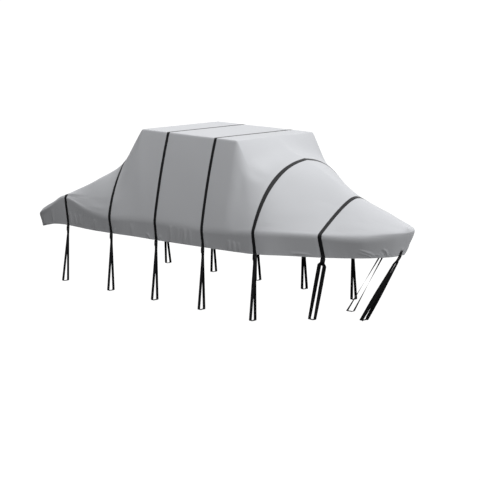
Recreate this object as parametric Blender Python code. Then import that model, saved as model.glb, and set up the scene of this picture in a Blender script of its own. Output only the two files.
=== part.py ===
"""A fitted boat cover: shaped cloth panels, six webbing straps, and buckled webbing tie-downs.

Frame: metres, +X towards the bow, +Y to port, +Z up. The origin is the middle of the underside of
the flat roof panel. The cover is symmetric about the plane Y = 0.
"""

import bmesh
import bpy
import numpy as np
from mathutils import Vector

# ---------------------------------------------------------------- driving dimensions
ROOF_HALF_LENGTH = 0.925
AFT_SEAM_X = -2.300
FORE_SEAM_X = 1.455
CLOTH = 0.002
WEBBING = 0.002
WEBBING_WIDTH = 0.050
GAP = 0.0003

# The cover's shape, one row for each cross-section from stern to bow. Each side of a section has a
# top point on the centre line, a hip, a shoulder (the crease above the skirt) and a hem point.
#   top_in, hem_in   how far the top and hem points lie inboard of x, towards the middle of the cover
#   round            0 = a sharp hip, 1 = the hip is one arc from top to shoulder
#   bulge            how far the wall stands out between hip and shoulder
COLUMNS = ("x", "top_in", "top_z", "hip_y", "hip_z", "round",
           "shoulder_y", "shoulder_z", "bulge", "hem_in", "hem_y", "hem_z")
SECTIONS = (
    (-3.205, 0.13, -1.375, 0.000, -1.390, 0.30, 0.000, -1.435, 0.00, 0.03, 0.000, -1.585),
    (-3.190, 0.13, -1.370, 0.420, -1.385, 0.30, 0.450, -1.430, 0.00, 0.03, 0.440, -1.585),
    (-3.130, 0.13, -1.335, 0.700, -1.365, 0.30, 0.730, -1.415, 0.00, 0.03, 0.710, -1.580),
    (-2.960, 0.11, -1.250, 0.860, -1.295, 0.25, 0.885, -1.353, 0.00, 0.02, 0.855, -1.535),
    (-2.700, 0.04, -1.153, 0.915, -1.188, 0.20, 0.935, -1.246, 0.00, 0.00, 0.890, -1.487),
    (-2.300, 0.00, -0.973, 0.925, -1.008, 0.20, 0.953, -1.062, 0.00, 0.00, 0.903, -1.457),
    (-1.800, 0.00, -0.750, 0.805, -0.765, 0.12, 0.975, -1.180, 0.02, 0.00, 0.930, -1.457),
    (-1.310, 0.00, -0.440, 0.690, -0.455, 0.08, 0.985, -1.230, 0.05, 0.00, 0.945, -1.446),
    (-0.925, 0.00, 0.000, 0.704, 0.000, 0.02, 0.968, -1.195, 0.02, 0.00, 0.936, -1.437),
    (-0.407, 0.00, 0.000, 0.704, 0.000, 0.02, 0.962, -1.172, 0.02, 0.00, 0.931, -1.430),
    (0.525, 0.00, 0.000, 0.704, 0.000, 0.02, 0.962, -1.172, 0.02, 0.00, 0.933, -1.407),
    (0.925, 0.00, 0.000, 0.704, 0.000, 0.02, 0.964, -1.150, 0.02, 0.00, 0.930, -1.398),
    (1.130, 0.00, -0.135, 0.708, -0.295, 0.20, 0.963, -1.135, 0.01, 0.00, 0.925, -1.393),
    (1.455, 0.00, -0.248, 0.675, -0.335, 0.90, 0.955, -1.100, 0.00, 0.00, 0.911, -1.381),
    (1.900, 0.00, -0.440, 0.352, -0.525, 0.90, 0.830, -1.075, 0.00, 0.00, 0.765, -1.362),
    (2.350, 0.00, -0.650, 0.182, -0.660, 0.90, 0.678, -1.060, 0.00, 0.00, 0.598, -1.347),
    (2.650, 0.00, -0.757, 0.235, -0.780, 0.90, 0.572, -1.058, 0.00, 0.02, 0.460, -1.335),
    (2.900, 0.01, -0.835, 0.170, -0.850, 0.90, 0.450, -1.047, 0.01, 0.05, 0.335, -1.322),
    (3.090, 0.03, -0.894, 0.130, -0.907, 0.90, 0.285, -1.024, 0.02, 0.09, 0.190, -1.312),
    (3.190, 0.04, -0.924, 0.070, -0.934, 0.90, 0.145, -1.014, 0.02, 0.12, 0.095, -1.305),
    (3.225, 0.03, -0.936, 0.000, -0.946, 0.90, 0.000, -1.004, 0.00, 0.14, 0.000, -1.300),
)

# Rows of points down one side, as shares of the way from top to hip, hip to shoulder and shoulder
# to hem. A row's depth is 0 to 1 on the top, 1 to 2 on the wall and 2 to 3 on the skirt.
TOP_ROWS = (0.0, 0.25, 0.5, 0.7, 0.86, 0.96, 1.0)
WALL_ROWS = (0.03, 0.12, 0.26, 0.42, 0.58, 0.74, 0.87, 0.95, 1.0)
SKIRT_ROWS = (0.18, 0.55, 1.0)
HIP_ROW = len(TOP_ROWS) - 1
SHOULDER_ROW = HIP_ROW + len(WALL_ROWS)
ROW_DEPTHS = np.array(TOP_ROWS + tuple(1.0 + r for r in WALL_ROWS) + tuple(2.0 + r for r in SKIRT_ROWS))

# Just outside the roof's ends the cloth drops more steeply than its chord, most of all at the hip.
STEEPER_TOP = 0.35
STEEPER_HIP = 1.05
STEEP_WALL_SHARE = 0.55
ROOF_BLEND_SHARE = 0.9
WALL_PLANE_SHARE = 0.4
WALL_NORMAL = np.array((0.0, 0.974, 0.225))

# Straps over the cover, counted from the stern, and the ends of the tie-down under each strap end:
# the front leg runs down to (front_x, front_y), turns under to (back_x, back_y), and comes back up.
#   seam     a panel seam runs under the strap
#   spread   how far each leg swings sideways just below the buckle
STRAP_COLUMNS = ("x", "seam", "front_x", "front_y", "back_x", "back_y", "low_z", "spread")
STRAPS = (
    (-2.300, True, -2.300, 1.020, -2.300, 0.930, -2.244, 0.000),
    (-1.304, False, -1.304, 1.020, -1.304, 0.925, -2.240, 0.000),
    (-0.390, False, -0.390, 1.020, -0.390, 0.925, -2.237, 0.000),
    (0.529, False, 0.529, 1.015, 0.529, 0.920, -2.227, 0.000),
    (1.467, True, 1.467, 0.992, 1.467, 0.905, -2.230, 0.000),
    (2.356, False, 1.996, 0.365, 1.894, 0.355, -2.230, 0.034),
)
STRAP_TAIL = 0.016
LONGEST_GAP = 0.30

# The bow tab runs down the stem from this share of the skirt to the hem, this far off its cloth.
BOW_TAB_START = 0.75
BOW_TAB_CLEARANCE = 0.0035
BOW_FRONT = Vector((2.505, 0.053, -2.204))
BOW_BACK = Vector((2.505, -0.053, -2.204))
BOW_SPREAD = 0.026

# Buckle: a flat frame with a slot for the strap above and one for the tie-down below. Places are
# measured down from the hem, and the webbing ends lie behind the frame.
BUCKLE_HALF_WIDTH = 0.031
SLOT_HALF_WIDTH = 0.0255
BUCKLE_TOP = 0.004
UPPER_SLOT = (0.012, 0.018)
LOWER_SLOT = (0.056, 0.062)
BUCKLE_BOTTOM = 0.074
FRAME_THICKNESS = 0.006
BODY_RAISE = 0.006
BODY_INSET = 0.004
CORNER_RADIUS = 0.008
BUCKLE_CLEARANCE = 0.0008

# Tie-down loop: where its legs start and leave the buckle, and where a spread leg has swung aside,
# all down from the hem, then the bend at each end of the short run underneath.
LEG_TOP = 0.060
LEG_EXIT = 0.080
SPREAD_AT = 0.125
UNDER_RADIUS = 0.012
CORNER_STEPS = 3
LEG_STEPS = 6

# Smaller numbers of the surface: the hip takes this share of top_in, and the shoulder crease is
# rounded off this far towards its neighbours.
HIP_SHARE_OF_TOP_IN = 0.4
SHOULDER_SOFTNESS = 0.5
ARC_STEPS = 20
BISECTIONS = 40

# A corner's offset is stretched no further than this cosine allows, each panel's edge draws back
# from its seam by SEAM_PULL, and edges over SHARP_ANGLE radians are shaded sharp.
LEAST_COSINE = 0.6
SEAM_PULL = 0.0002
SHARP_ANGLE = 0.6

MATERIALS = {
    "grey_cloth": ((0.36, 0.36, 0.37, 1.0), 0.75),
    "black_webbing": ((0.02, 0.02, 0.022, 1.0), 0.70),
    "black_plastic": ((0.03, 0.03, 0.032, 1.0), 0.45),
}


# ---------------------------------------------------------------- the cover's surface
def spaced(line, shares):
    """Points at these shares of a polyline's length."""
    steps = np.linalg.norm(np.diff(line, axis=0), axis=1)
    length = np.concatenate(([0.0], np.cumsum(steps)))
    return np.stack([np.interp(shares, length / length[-1], line[:, k]) for k in range(3)], axis=1)


def section_points(row):
    """One side of a cross-section, from the centre line down to the hem."""
    s = dict(zip(COLUMNS, row))
    inward = -1.0 if s["x"] > 0 else 1.0
    top = np.array((s["x"] + inward * s["top_in"], 0.0, s["top_z"]))
    hip = np.array((s["x"] + inward * s["top_in"] * HIP_SHARE_OF_TOP_IN, s["hip_y"], s["hip_z"]))
    shoulder = np.array((s["x"], s["shoulder_y"], s["shoulder_z"]))
    hem = np.array((s["x"] + inward * s["hem_in"], s["hem_y"], s["hem_z"]))
    arc_start = top + (hip - top) * (1.0 - s["round"])
    arc_end = hip + (shoulder - hip) * s["round"]
    t = np.linspace(0.0, 1.0, 2 * ARC_STEPS + 1)[:, None]
    arc = (1 - t) ** 2 * arc_start + 2 * t * (1 - t) * hip + t ** 2 * arc_end
    straight = arc_end + (shoulder - arc_end) * np.linspace(0.0, 1.0, ARC_STEPS)[1:, None]
    over = np.vstack((top[None], arc[:ARC_STEPS + 1]))
    wall = np.vstack((arc[ARC_STEPS:], straight))
    down = (wall[:, 2] - wall[0, 2]) / (shoulder[2] - wall[0, 2])
    wall[:, 1] += s["bulge"] * 4.0 * down * (1.0 - down)
    skirt = np.array((shoulder, hem))
    points = np.vstack((spaced(over, TOP_ROWS), spaced(wall, WALL_ROWS), spaced(skirt, SKIRT_ROWS)))
    above, below = points[SHOULDER_ROW - 1], points[SHOULDER_ROW + 1]
    points[SHOULDER_ROW] += SHOULDER_SOFTNESS * ((above + below) / 2.0 - shoulder)
    return points


def end_mirror(points):
    """The next section beyond a closed end of the cover: the one before it, mirrored."""
    return points * np.array((1.0, -1.0, 1.0))


class Surface:
    """The cover's outer form: smooth curves along the cover through the points of every section."""

    def __init__(self):
        self.points = np.array([section_points(row) for row in SECTIONS])
        steps = np.diff(self.points[:, SHOULDER_ROW], axis=0)
        self.along = np.concatenate(([0.0], np.cumsum(np.linalg.norm(steps, axis=1))))
        self.arriving = np.zeros_like(self.points)
        self.leaving = np.zeros_like(self.points)
        last = len(self.points) - 1
        for k in range(last + 1):
            if k in (0, last):
                self.arriving[k] = self.leaving[k] = self.end_slope(k, last)
                continue
            before = self.chord_slope(k - 1)
            after = self.chord_slope(k)
            middle = self.middle_slope(k, before, after)
            self.arriving[k] = self.leaving[k] = middle
            if SECTIONS[k][0] == -ROOF_HALF_LENGTH:
                self.arriving[k] = steeper_slope(before)
                self.leaving[k] = roof_slope(after, middle)
            if SECTIONS[k][0] == ROOF_HALF_LENGTH:
                self.arriving[k] = roof_slope(before, middle)
                self.leaving[k] = steeper_slope(after)

    def chord_slope(self, k):
        return (self.points[k + 1] - self.points[k]) / (self.along[k + 1] - self.along[k])

    def end_slope(self, k, last):
        """At the stem and the stern the surface crosses the centre plane at a right angle."""
        neighbour = self.points[1] if k == 0 else self.points[last - 1]
        beyond = end_mirror(neighbour)
        run = self.along[1] if k == 0 else self.along[last] - self.along[last - 1]
        rise = neighbour - beyond if k == 0 else beyond - neighbour
        return rise / (2.0 * run)

    def middle_slope(self, k, before, after):
        """A smooth slope that never overshoots its neighbours."""
        run_before = self.along[k] - self.along[k - 1]
        run_after = self.along[k + 1] - self.along[k]
        mean = (before * run_after + after * run_before) / (run_before + run_after)
        steepest = 3.0 * np.minimum(np.abs(before), np.abs(after))
        limited = np.sign(mean) * np.minimum(np.abs(mean), steepest)
        return np.where(before * after <= 0.0, 0.0, limited)

    def at(self, u):
        """The points of the section at u, which counts sections from the stern."""
        k = min(int(u), len(self.points) - 2)
        t = u - k
        run = self.along[k + 1] - self.along[k]
        near = (2 * t ** 3 - 3 * t ** 2 + 1) * self.points[k]
        near += (t ** 3 - 2 * t ** 2 + t) * run * self.leaving[k]
        far = (3 * t ** 2 - 2 * t ** 3) * self.points[k + 1]
        far += (t ** 3 - t ** 2) * run * self.arriving[k + 1]
        return near + far

    def find(self, x):
        """The u whose shoulder point lies at x."""
        low, high = 0.0, len(self.points) - 1.0
        for _ in range(BISECTIONS):
            middle = (low + high) / 2.0
            if self.at(middle)[SHOULDER_ROW, 0] < x:
                low = middle
            else:
                high = middle
        return (low + high) / 2.0


def steeper_slope(chord):
    """The slope just outside the roof's ends: steep at the hip, and in the wall's own plane below it."""
    on_top = ROW_DEPTHS <= 1.0
    below_hip = np.clip(1.0 - (ROW_DEPTHS - 1.0) / STEEP_WALL_SHARE, 0.0, 1.0)
    at_hip = np.where(on_top, ROW_DEPTHS ** 2, below_hip)
    more = 1.0 + STEEPER_TOP * on_top * (1.0 - at_hip) + STEEPER_HIP * at_hip
    slope = chord * more[:, None]
    across = (slope @ WALL_NORMAL)[:, None] * WALL_NORMAL
    kept = np.clip(1.0 - (ROW_DEPTHS - 1.0) / WALL_PLANE_SHARE, 0.0, 1.0)
    return slope - across * np.where(on_top, 0.0, 1.0 - kept)[:, None]


def roof_slope(chord, middle):
    """The slope just inside the roof's ends: straight at the roof, smooth down at the shoulder."""
    smooth = np.clip((ROW_DEPTHS - 1.0) / ROOF_BLEND_SHARE, 0.0, 1.0)[:, None]
    return chord * (1.0 - smooth) + middle * smooth


# ---------------------------------------------------------------- the grid of facets
class Grid:
    """The cover's underside as facets, from the starboard hem over the top to the port hem."""

    def __init__(self, surface):
        self.stations, self.strap_lines = station_list(surface)
        self.half_rows = len(ROW_DEPTHS)
        self.columns = 2 * self.half_rows - 1
        vertices = []
        self.index = np.zeros((len(self.stations), self.columns), dtype=int)
        for i, u in enumerate(self.stations):
            half = surface.at(u)
            closed = i in (0, len(self.stations) - 1)
            for c in range(self.columns):
                row = abs(c - (self.half_rows - 1))
                if closed and c >= self.half_rows:
                    self.index[i, c] = self.index[i, self.columns - 1 - c]
                    continue
                side = -1.0 if c < self.half_rows - 1 else 1.0
                self.index[i, c] = len(vertices)
                vertices.append(half[row] * np.array((1.0, side, 1.0)))
        self.vertices = np.array(vertices)
        self.triangles = {}
        for i in range(len(self.stations) - 1):
            for c in range(self.columns - 1):
                self.triangles[i, c] = self.split(i, c)
        self.normals = outward(self.vertices, [t for pair in self.triangles.values() for t in pair])

    def split(self, i, c):
        """The two facets of a cell, cut along its shorter diagonal."""
        a, b = self.index[i, c], self.index[i + 1, c]
        d, e = self.index[i, c + 1], self.index[i + 1, c + 1]
        across = np.linalg.norm(self.vertices[a] - self.vertices[e])
        other = np.linalg.norm(self.vertices[b] - self.vertices[d])
        if across <= other:
            return (a, b, e), (a, e, d)
        return (a, b, d), (b, e, d)


def station_list(surface):
    """Where the sections of facets lie, and which of them are the edges of each strap."""
    fixed = set(range(len(SECTIONS)))
    edges = []
    for row in STRAPS:
        strap = dict(zip(STRAP_COLUMNS, row))
        pair = [surface.find(strap["x"] + side * WEBBING_WIDTH / 2.0) for side in (-1, 1)]
        edges.append(pair)
        middle = min(fixed, key=lambda k: abs(SECTIONS[k][0] - strap["x"]))
        if not strap["seam"]:
            fixed.discard(middle)
    marks = sorted(list(fixed) + [u for pair in edges for u in pair])
    stations = [marks[0]]
    for u in marks[1:]:
        from_point = surface.at(stations[-1])[SHOULDER_ROW]
        length = np.linalg.norm(surface.at(u)[SHOULDER_ROW] - from_point)
        parts = int(np.ceil(length / LONGEST_GAP))
        start = stations[-1]
        stations += [start + (u - start) * n / parts for n in range(1, parts + 1)]
    lines = []
    for pair in edges:
        first, last = (min(range(len(stations)), key=lambda i: abs(stations[i] - u)) for u in pair)
        lines.append(range(first, last + 1))
    return stations, lines


def outward(vertices, triangles):
    """At each vertex, the vector that moves the facets round it outwards by one unit."""
    facets = np.array(triangles)
    a, b, c = (vertices[facets[:, k]] for k in range(3))
    area = np.cross(b - a, c - a)
    unit = area / np.linalg.norm(area, axis=1)[:, None]
    total = np.zeros_like(vertices)
    for k in range(3):
        np.add.at(total, facets[:, k], area)
    length = np.linalg.norm(total, axis=1)
    normal = total / np.where(length > 0.0, length, 1.0)[:, None]
    cosine = np.zeros(len(vertices))
    count = np.zeros(len(vertices))
    for k in range(3):
        np.add.at(cosine, facets[:, k], np.sum(unit * normal[facets[:, k]], axis=1))
        np.add.at(count, facets[:, k], 1.0)
    mean = cosine / np.maximum(count, 1.0)
    return normal / np.clip(mean, LEAST_COSINE, 1.0)[:, None]


# ---------------------------------------------------------------- making objects
def material(name):
    if name in bpy.data.materials:
        return bpy.data.materials[name]
    colour, roughness = MATERIALS[name]
    made = bpy.data.materials.new(name)
    made.use_nodes = True
    shader = made.node_tree.nodes["Principled BSDF"]
    shader.inputs["Base Color"].default_value = colour
    shader.inputs["Roughness"].default_value = roughness
    return made


def add_object(name, mesh, finish):
    mesh.materials.append(material(finish))
    made = bpy.data.objects.new(name, mesh)
    bpy.context.scene.collection.objects.link(made)
    return made


def closed_shell(name, inner, outer, triangles, finish):
    """A closed sheet between two skins of the same facets, with a rim round every free edge."""
    used = sorted({v for t in triangles for v in t})
    place = {v: n for n, v in enumerate(used)}
    count = len(used)
    points = [inner[v] for v in used] + [outer[v] for v in used]
    faces = [tuple(place[v] + count for v in t) for t in triangles]
    faces += [tuple(place[v] for v in reversed(t)) for t in triangles]
    directed = {(t[k], t[(k + 1) % 3]) for t in triangles for k in range(3)}
    for a, b in sorted(directed):
        if (b, a) not in directed:
            low_a, low_b = place[a], place[b]
            faces.append((low_a, low_b, low_b + count))
            faces.append((low_a, low_b + count, low_a + count))
    mesh = bpy.data.meshes.new(name)
    mesh.from_pydata([tuple(p) for p in points], [], faces)
    mesh.shade_smooth()
    mesh.set_sharp_from_angle(angle=SHARP_ANGLE)
    return add_object(name, mesh, finish)


# ---------------------------------------------------------------- cloth panels
def panel_name(grid, i, c):
    """The panel that a cell of the grid belongs to."""
    middle = grid.half_rows - 1
    row = c - middle if c >= middle else middle - 1 - c
    start, end = grid.stations[i], grid.stations[i + 1]
    if row >= HIP_ROW:
        if end <= AFT_SEAM:
            return "stern_panel"
        if start >= FORE_SEAM:
            return "bow_hood"
        return "side_panel_port" if c >= middle else "side_panel_starboard"
    if end <= ROOF_AFT:
        return "stern_panel"
    if start >= ROOF_FORE:
        return "bow_hood"
    return "roof_panel"


def section_at(x):
    return next(k for k, row in enumerate(SECTIONS) if row[0] == x)


AFT_SEAM = section_at(AFT_SEAM_X)
FORE_SEAM = section_at(FORE_SEAM_X)
ROOF_AFT = section_at(-ROOF_HALF_LENGTH)
ROOF_FORE = section_at(ROOF_HALF_LENGTH)


def directed_edges(triangles):
    """Each directed edge of some facets, with the third corner of its facet."""
    return {(t[k], t[(k + 1) % 3]): t[(k + 2) % 3] for t in triangles for k in range(3)}


def pulled_from_seams(vertices, own, others):
    """The vertices, with those on a seam moved squarely into the panel by half a gap."""
    across = {}
    for (a, b), third in own.items():
        if (b, a) in others:
            edge = (vertices[b] - vertices[a]) / np.linalg.norm(vertices[b] - vertices[a])
            reach = vertices[third] - vertices[a]
            square = reach - edge * (reach @ edge)
            for v in (a, b):
                across.setdefault(v, []).append(square / np.linalg.norm(square))
    pulled = vertices.copy()
    for v, squares in across.items():
        first, last = squares[0], squares[-1]
        pulled[v] += SEAM_PULL * (first + last) / max(1.0 + first @ last, LEAST_COSINE)
    return pulled


def make_panels(grid):
    """Every cloth panel, drawn back from its seams."""
    panels = {}
    for (i, c), pair in grid.triangles.items():
        panels.setdefault(panel_name(grid, i, c), []).extend(pair)
    edges = {name: directed_edges(triangles) for name, triangles in panels.items()}
    for name, triangles in panels.items():
        others = {edge for other in panels if other != name for edge in edges[other]}
        inner = pulled_from_seams(grid.vertices, edges[name], others)
        outer = inner + grid.normals * CLOTH
        closed_shell(name, inner, outer, triangles, "grey_cloth")


# ---------------------------------------------------------------- straps, buckles and tie-downs
class Hanger:
    """Where a buckle hangs: its place at the hem, and its down, across and outward directions."""

    def __init__(self, place, across, target, outside):
        self.place = Vector(place)
        self.down = (Vector(target) - self.place).normalized()
        across = Vector(across)
        self.across = (across - self.down * across.dot(self.down)).normalized()
        self.out = self.across.cross(self.down)
        if self.out.dot(Vector(outside)) < 0.0:
            self.out.negate()

    def point(self, down, across, out):
        return self.place + self.down * down + self.across * across + self.out * out


def make_strap(grid, number, strap, lines):
    """One strap over the cover from hem to hem, and the hanger at each of its ends."""
    first, last = lines[0], lines[-1]
    base = grid.normals * (CLOTH + GAP)
    inner = list(grid.vertices + base)
    outer = list(grid.vertices + base + grid.normals * WEBBING)
    triangles = []
    for i in range(first, last):
        for c in range(grid.columns - 1):
            triangles.extend(grid.triangles[i, c])
    hangers = {}
    for side, column in (("starboard", 0), ("port", grid.columns - 1)):
        sign = -1.0 if side == "starboard" else 1.0
        hem = [grid.index[i, column] for i in lines]
        place = (Vector(inner[hem[0]]) + Vector(inner[hem[-1]])) / 2.0
        across = Vector(inner[hem[-1]]) - Vector(inner[hem[0]])
        target = Vector(((strap["front_x"] + strap["back_x"]) / 2.0,
                         sign * (strap["front_y"] + strap["back_y"]) / 2.0, strap["low_z"]))
        hanger = Hanger(place, across, target, (0.0, sign, 0.0))
        hangers[side] = hanger
        tail = []
        for v in hem:
            tail.append(len(inner))
            drop = np.array(hanger.down) * STRAP_TAIL
            inner.append(inner[v] + drop)
            outer.append(inner[v] + drop + np.array(hanger.out) * WEBBING)
        for k in range(len(hem) - 1):
            ring = (hem[k], hem[k + 1], tail[k + 1], tail[k])
            if side == "port":
                triangles += [(ring[0], ring[1], ring[2]), (ring[0], ring[2], ring[3])]
            else:
                triangles += [(ring[2], ring[1], ring[0]), (ring[3], ring[2], ring[0])]
    closed_shell(f"strap_{number}", np.array(inner), np.array(outer), triangles, "black_webbing")
    return hangers


def make_buckle(name, hanger):
    """A flat frame with two slots and a raised middle, its corners rounded."""
    across = (-BUCKLE_HALF_WIDTH, -SLOT_HALF_WIDTH, SLOT_HALF_WIDTH, BUCKLE_HALF_WIDTH)
    down = (BUCKLE_TOP, *UPPER_SLOT, *LOWER_SLOT, BUCKLE_BOTTOM)
    middle_column, slot_rows, body_row = 1, (1, 3), 2
    shape = bmesh.new()
    corners = [[shape.verts.new((a, d, 0.0)) for a in across] for d in down]
    body = None
    for r in range(len(down) - 1):
        for c in range(len(across) - 1):
            if c == middle_column and r in slot_rows:
                continue
            upper, lower = corners[r], corners[r + 1]
            face = shape.faces.new((upper[c], upper[c + 1], lower[c + 1], lower[c]))
            if c == middle_column and r == body_row:
                body = face
    frame = bmesh.ops.extrude_face_region(shape, geom=list(shape.faces), use_keep_orig=True)
    raised = [v for v in frame["geom"] if isinstance(v, bmesh.types.BMVert)]
    bmesh.ops.translate(shape, verts=raised, vec=(0.0, 0.0, FRAME_THICKNESS))
    top = next(f for f in frame["geom"] if isinstance(f, bmesh.types.BMFace)
               and (f.calc_center_median() - body.calc_center_median()).xy.length < GAP)
    bmesh.ops.inset_individual(shape, faces=[top], thickness=BODY_INSET, depth=BODY_RAISE)
    posts = [e for e in shape.edges if is_corner_post(e)]
    bmesh.ops.bevel(shape, geom=posts, offset=CORNER_RADIUS, segments=3, profile=0.5, affect="EDGES")
    back = WEBBING + BUCKLE_CLEARANCE
    for vertex in shape.verts:
        vertex.co = hanger.point(vertex.co.y, vertex.co.x, vertex.co.z + back)
    finish_solid(name, shape, "black_plastic")


def finish_solid(name, shape, finish):
    """Turn a closed bmesh into an object whose faces point outwards."""
    bmesh.ops.triangulate(shape, faces=shape.faces)
    bmesh.ops.recalc_face_normals(shape, faces=shape.faces)
    if shape.calc_volume(signed=True) < 0.0:
        bmesh.ops.reverse_faces(shape, faces=shape.faces)
    mesh = bpy.data.meshes.new(name)
    shape.to_mesh(mesh)
    shape.free()
    add_object(name, mesh, finish)


def is_corner_post(edge):
    """True for the four upright edges at the buckle's outer corners."""
    a, b = (v.co for v in edge.verts)
    upright = abs(a.x - b.x) < GAP and abs(a.y - b.y) < GAP
    at_side = abs(abs(a.x) - BUCKLE_HALF_WIDTH) < GAP
    at_end = abs(a.y - BUCKLE_TOP) < GAP or abs(a.y - BUCKLE_BOTTOM) < GAP
    return upright and at_side and at_end


def rounded(before, corner, after, radius):
    """A corner of a path as a short arc."""
    start = corner + (before - corner).normalized() * radius
    end = corner + (after - corner).normalized() * radius
    steps = (n / CORNER_STEPS for n in range(CORNER_STEPS + 1))
    return [(1 - t) ** 2 * start + 2 * t * (1 - t) * corner + t ** 2 * end for t in steps]


def make_tie_down(name, hanger, front, back, spread):
    """A loop of webbing from behind the buckle, down, round a short run underneath, and up again.

    Just below the buckle each leg swings sideways by spread.
    """
    front_level = WEBBING / 2.0
    back_level = -GAP - WEBBING / 2.0
    front_path = [hanger.point(LEG_TOP, 0.0, front_level), hanger.point(LEG_EXIT, 0.0, front_level)]
    back_path = [hanger.point(LEG_TOP, 0.0, back_level), hanger.point(LEG_EXIT, 0.0, back_level)]
    if spread > 0.0:
        front_path.append(hanger.point(SPREAD_AT, spread, front_level))
        back_path.append(hanger.point(SPREAD_AT, -spread, back_level))
    under = (back - front).normalized()
    under_across = Vector((0.0, 0.0, 1.0)).cross(under).normalized()
    if under_across.dot(hanger.across) < 0.0:
        under_across.negate()
    path = front_path + leg_points(front_path[-1], front)
    path += rounded(front_path[-1], front, back, UNDER_RADIUS)
    path += rounded(front, back, back_path[-1], UNDER_RADIUS)
    path += list(reversed(leg_points(back_path[-1], back))) + list(reversed(back_path))
    middle_front, middle_back = front_path[-1], back_path[-1]
    across = []
    for point in path:
        start = middle_front if (point - front).length < (point - back).length else middle_back
        run = (start.z - front.z)
        share = min(max((start.z - point.z) / run, 0.0), 1.0)
        across.append(hanger.across.lerp(under_across, share).normalized())
    make_band(name, path, across)


def leg_points(start, end):
    """Points between the ends of a leg, so that its twist is gradual."""
    return [start.lerp(end, n / LEG_STEPS) for n in range(1, LEG_STEPS)]


def make_band(name, path, across):
    """A closed strip of webbing along a path of points."""
    mesh_points, faces = [], []
    for n, point in enumerate(path):
        before = path[max(n - 1, 0)]
        after = path[min(n + 1, len(path) - 1)]
        along = (after - before).normalized()
        width = (across[n] - along * across[n].dot(along)).normalized() * (WEBBING_WIDTH / 2.0)
        thick = width.cross(along).normalized() * (WEBBING / 2.0)
        mesh_points += [point - width - thick, point + width - thick]
        mesh_points += [point + width + thick, point - width + thick]
    for n in range(len(path) - 1):
        here, there = 4 * n, 4 * (n + 1)
        for k in range(4):
            a, b = here + k, here + (k + 1) % 4
            c, d = there + (k + 1) % 4, there + k
            # Both broad sides are cut along the same diagonal, so a twisted strip keeps its thickness.
            faces += [(a, b, d), (b, c, d)] if k == 2 else [(a, b, c), (a, c, d)]
    end = 4 * (len(path) - 1)
    faces += [(0, 2, 1), (0, 3, 2), (end, end + 1, end + 2), (end, end + 2, end + 3)]
    shape = bmesh.new()
    vertices = [shape.verts.new(p) for p in mesh_points]
    for face in faces:
        shape.faces.new([vertices[v] for v in face])
    finish_solid(name, shape, "black_webbing")


def skirt_point(grid, station, share):
    """A point of the starboard skirt's underside, this share of the way from shoulder to hem."""
    shoulder = grid.vertices[grid.index[station, grid.half_rows - 1 - SHOULDER_ROW]]
    hem = grid.vertices[grid.index[station, 0]]
    return Vector(shoulder + (hem - shoulder) * share)


def make_bow_fastening(grid):
    """The tab down the stem, its buckle, and the bow tie-down."""
    stem = len(grid.stations) - 1
    starboard, middle, port = [], [], []
    for share in (BOW_TAB_START, 1.0):
        centre = skirt_point(grid, stem, share)
        beside = skirt_point(grid, stem - 1, share)
        edge = centre.lerp(beside, WEBBING_WIDTH / 2.0 / abs(beside.y))
        starboard.append(edge)
        middle.append(centre)
        port.append(Vector((edge.x, -edge.y, edge.z)))
    across = Vector((0.0, 1.0, 0.0))
    lift = (middle[1] - middle[0]).cross(across).normalized()
    clearance = lift * BOW_TAB_CLEARANCE
    target = (BOW_FRONT + BOW_BACK) / 2.0
    hanger = Hanger(middle[1] + clearance, across, target, (1.0, 0.0, 0.0))
    drop = hanger.down * STRAP_TAIL
    inner, outer = [], []
    for line in (starboard, middle, port):
        inner += [line[0] + clearance, line[1] + clearance, line[1] + clearance + drop]
        outer += [inner[-3] + lift * WEBBING, inner[-2] + lift * WEBBING, inner[-1] + hanger.out * WEBBING]
    triangles = []
    for column in (0, 3):
        for row in (0, 1):
            a = column + row
            triangles += [(a, a + 1, a + 4), (a, a + 4, a + 3)]
    closed_shell("bow_tab", np.array(inner), np.array(outer), triangles, "black_webbing")
    make_buckle("bow_buckle", hanger)
    make_tie_down("bow_tie_down", hanger, BOW_FRONT, BOW_BACK, BOW_SPREAD)


def clear_scene():
    for old in list(bpy.data.objects):
        bpy.data.objects.remove(old, do_unlink=True)


def main():
    clear_scene()
    grid = Grid(Surface())
    make_panels(grid)
    for number, (row, lines) in enumerate(zip(STRAPS, grid.strap_lines), start=1):
        strap = dict(zip(STRAP_COLUMNS, row))
        hangers = make_strap(grid, number, strap, lines)
        for side, hanger in hangers.items():
            sign = -1.0 if side == "starboard" else 1.0
            front = Vector((strap["front_x"], sign * strap["front_y"], strap["low_z"]))
            back = Vector((strap["back_x"], sign * strap["back_y"], strap["low_z"]))
            make_buckle(f"buckle_{number}_{side}", hanger)
            make_tie_down(f"tie_down_{number}_{side}", hanger, front, back, strap["spread"])
    make_bow_fastening(grid)


main()
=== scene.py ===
"""A fitted boat cover as cloth, webbing and moulded buckles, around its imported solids.

Frame: metres, +X towards the bow, +Y to port, +Z up. The origin is the middle of the underside of
the flat roof panel. The cloth is shaped by the same cross-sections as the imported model, on a finer
grid, with its creases, puckers and stitched edges raised or sunk.
"""

import math

import bmesh
import bpy
import numpy as np
from mathutils import Matrix, Vector


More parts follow.
